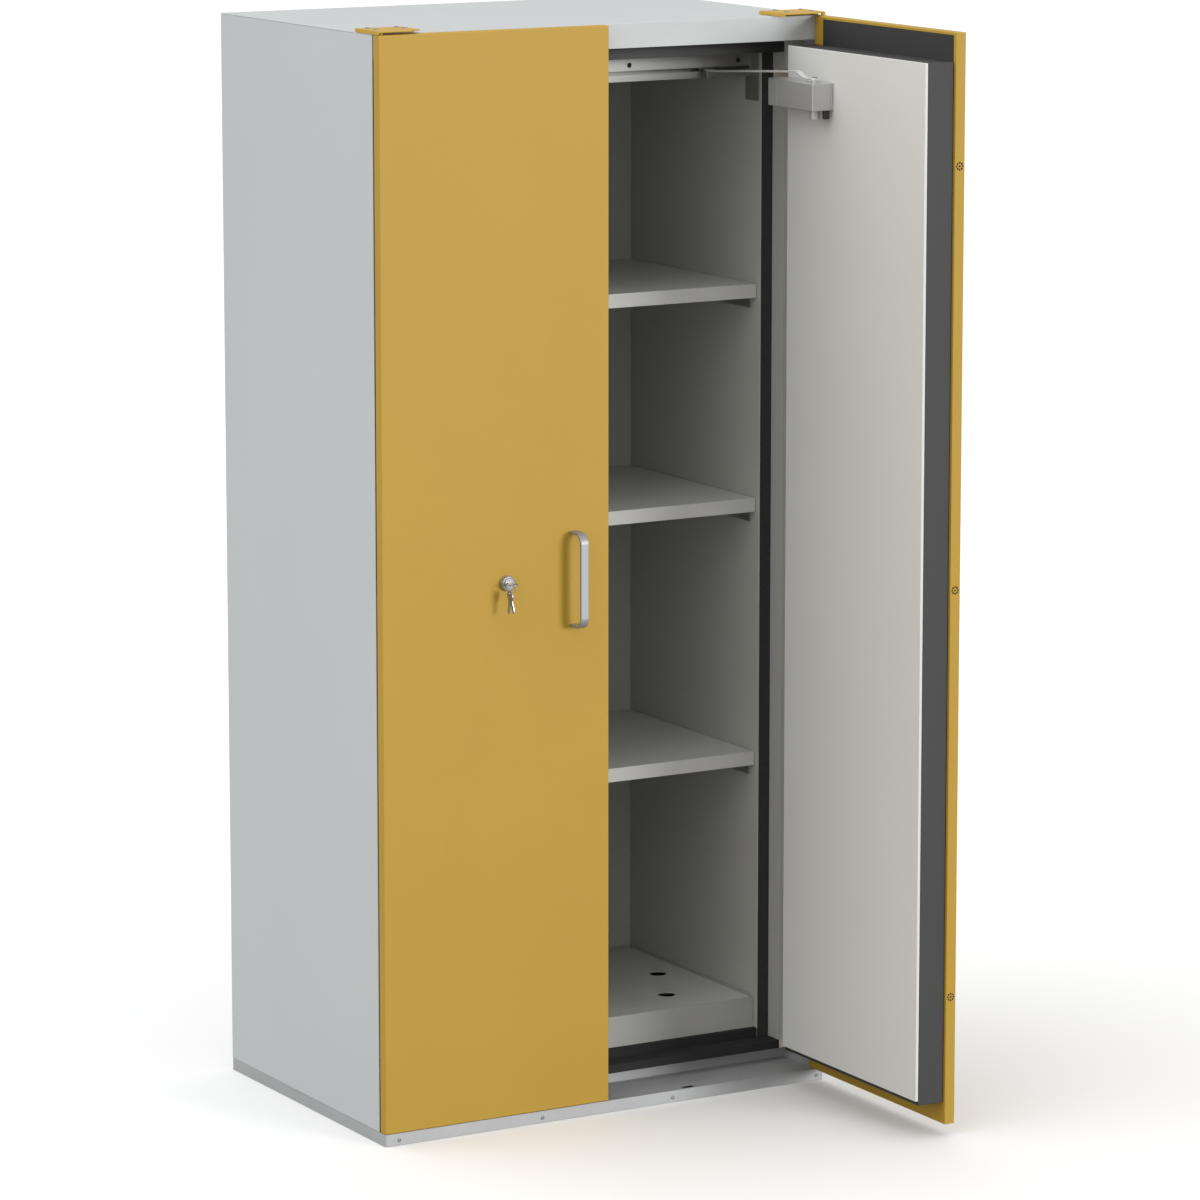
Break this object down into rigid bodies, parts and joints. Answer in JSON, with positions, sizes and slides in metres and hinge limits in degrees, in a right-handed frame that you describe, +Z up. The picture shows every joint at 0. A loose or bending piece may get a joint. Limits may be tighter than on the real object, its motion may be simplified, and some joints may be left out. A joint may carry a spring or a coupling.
{
  "type": "flammable storage cabinet",
  "caption": "Tall insulated safety cabinet for flammable liquids with swing doors, overhead door closers, shelves and a covered sump tray.",
  "frame": {"origin": "centre of the base underside, on the floor", "axes": "+X right, +Y to the back, +Z up; the doors face -Y"},
  "size_m": [0.9404, 1.0317, 1.9415],
  "materials": {
    "plinth_wood": "sealed board",
    "trim_steel": "brushed",
    "body_grey": "fine textured powder coat",
    "insulation": "fire board",
    "board_black": "dark laminate on fire board",
    "seal_black": "matt",
    "liner_grey": "satin laminate",
    "shelf_grey": "satin powder coat",
    "rail_steel": "brushed",
    "door_yellow": "fine textured powder coat",
    "panel_grey": "satin laminate",
    "handle_metal": "satin anodised",
    "closer_silver": "silver lacquer",
    "lock_nickel": "satin nickel",
    "lock_steel": "zinc plated"
  },
  "bodies": {
    "cabinet": {"plinth_board": "plinth_wood", "base_trim": "trim_steel", "sill_plate": "trim_steel", "lower_hinge_pin_left": "trim_steel", "lower_hinge_pin_right": "trim_steel", "top_skin": "body_grey", "side_skin_left": "body_grey", "side_skin_right": "body_grey", "back_skin": "body_grey", "side_core_left": "insulation", "side_core_right": "insulation", "back_core": "insulation", "floor_board": "board_black", "top_board": "board_black", "seal_strip_left": "seal_black", "seal_strip_right": "seal_black", "jamb_cover_left": "liner_grey", "jamb_cover_right": "liner_grey", "side_liner_left": "liner_grey", "side_liner_right": "liner_grey", "back_liner": "liner_grey", "sump_tray": "shelf_grey", "guide_rail": "rail_steel", "rail_bracket_left": "rail_steel", "rail_bracket_right": "rail_steel", "shelf_rest_1_left": "rail_steel", "shelf_rest_1_right": "rail_steel", "shelf_rest_2_left": "rail_steel", "shelf_rest_2_right": "rail_steel", "shelf_rest_3_left": "rail_steel", "shelf_rest_3_right": "rail_steel", "hinge_plate_left": "door_yellow", "hinge_plate_right": "door_yellow"},
    "left_door": {"door_pan_left": "door_yellow", "door_infill_left": "board_black", "door_block_left": "board_black", "door_panel_left": "panel_grey", "handle_left": "handle_metal", "closer_body_left": "closer_silver", "lock_rosette": "lock_nickel", "lock_case": "lock_steel"},
    "right_door": {"door_pan_right": "door_yellow", "door_infill_right": "board_black", "door_block_right": "board_black", "door_panel_right": "panel_grey", "handle_right": "handle_metal", "closer_body_right": "closer_silver"},
    "left_closer_arm": {"closer_arm_left": "closer_silver"},
    "right_closer_arm": {"closer_arm_right": "closer_silver"},
    "left_slider": {"arm_slider_left": "closer_silver"},
    "right_slider": {"arm_slider_right": "closer_silver"},
    "lock_plug": {"lock_plug": "lock_nickel", "key": "lock_nickel", "key_ring": "lock_nickel"},
    "spare_key": {"spare_key": "lock_nickel"},
    "lock_bolt": {"lock_bolt": "lock_steel"},
    "shelf_1": {"shelf_1": "shelf_grey"},
    "shelf_2": {"shelf_2": "shelf_grey"},
    "shelf_3": {"shelf_3": "shelf_grey"},
    "tray_cover": {"tray_cover": "shelf_grey"}
  },
  "joints": [
    {"name": "right_door_hinge", "type": "hinge", "parent": "cabinet", "child": "right_door", "pos_m": [0.4412, -0.2915, 0.98], "axis": [0, 0, 1], "range_deg": [-90, 0]},
    {"name": "left_door_hinge", "type": "hinge", "parent": "cabinet", "child": "left_door", "pos_m": [-0.4412, -0.2915, 0.98], "axis": [0, 0, 1], "range_deg": [-90, 0]},
    {"name": "right_closer_arm_turn", "type": "hinge", "parent": "right_door", "child": "right_closer_arm", "pos_m": [0.347, -0.415, 1.835], "axis": [0, 0, 1], "range_deg": [0, 158.3]},
    {"name": "left_closer_arm_turn", "type": "hinge", "parent": "left_door", "child": "left_closer_arm", "pos_m": [-0.3177, -0.1973, 1.835], "axis": [0, 0, 1], "range_deg": [0, 158.3]},
    {"name": "right_slider_travel", "type": "slide", "parent": "cabinet", "child": "right_slider", "axis": [1, 0, 0], "range_m": [-0.2207, 0]},
    {"name": "left_slider_travel", "type": "slide", "parent": "cabinet", "child": "left_slider", "axis": [1, 0, 0], "range_m": [-0.2207, 0]},
    {"name": "lock_turn", "type": "hinge", "parent": "left_door", "child": "lock_plug", "pos_m": [-0.206, -0.31, 0.977], "axis": [0, 1, 0], "range_deg": [0, 90]},
    {"name": "spare_key_swing", "type": "hinge", "parent": "lock_plug", "child": "spare_key", "pos_m": [-0.2132, -0.3282, 0.9735], "axis": [0, 1, 0], "range_deg": [-90.5, 0]},
    {"name": "lock_bolt_throw", "type": "slide", "parent": "left_door", "child": "lock_bolt", "axis": [1, 0, 0], "range_m": [0, 0.014]},
    {"name": "shelf_1_lift", "type": "slide", "parent": "cabinet", "child": "shelf_1", "axis": [0, 0, 1], "range_m": [0, 0.04]},
    {"name": "shelf_2_lift", "type": "slide", "parent": "cabinet", "child": "shelf_2", "axis": [0, 0, 1], "range_m": [0, 0.04]},
    {"name": "shelf_3_lift", "type": "slide", "parent": "cabinet", "child": "shelf_3", "axis": [0, 0, 1], "range_m": [0, 0.04]},
    {"name": "tray_cover_lift", "type": "slide", "parent": "cabinet", "child": "tray_cover", "axis": [0, 0, 1], "range_m": [0, 0.08]}
  ],
  "couplings": [
    {"joint": "right_closer_arm_turn", "follows": "right_door_hinge", "ratio": -1.7583},
    {"joint": "left_closer_arm_turn", "follows": "left_door_hinge", "ratio": -1.7583},
    {"joint": "right_slider_travel", "follows": "right_door_hinge", "m_per_rad": 0.14043},
    {"joint": "left_slider_travel", "follows": "left_door_hinge", "m_per_rad": 0.14043},
    {"joint": "spare_key_swing", "follows": "lock_bolt_throw", "rad_per_m": -112.2},
    {"joint": "lock_turn", "follows": "lock_bolt_throw", "rad_per_m": 112.2}
  ]
}
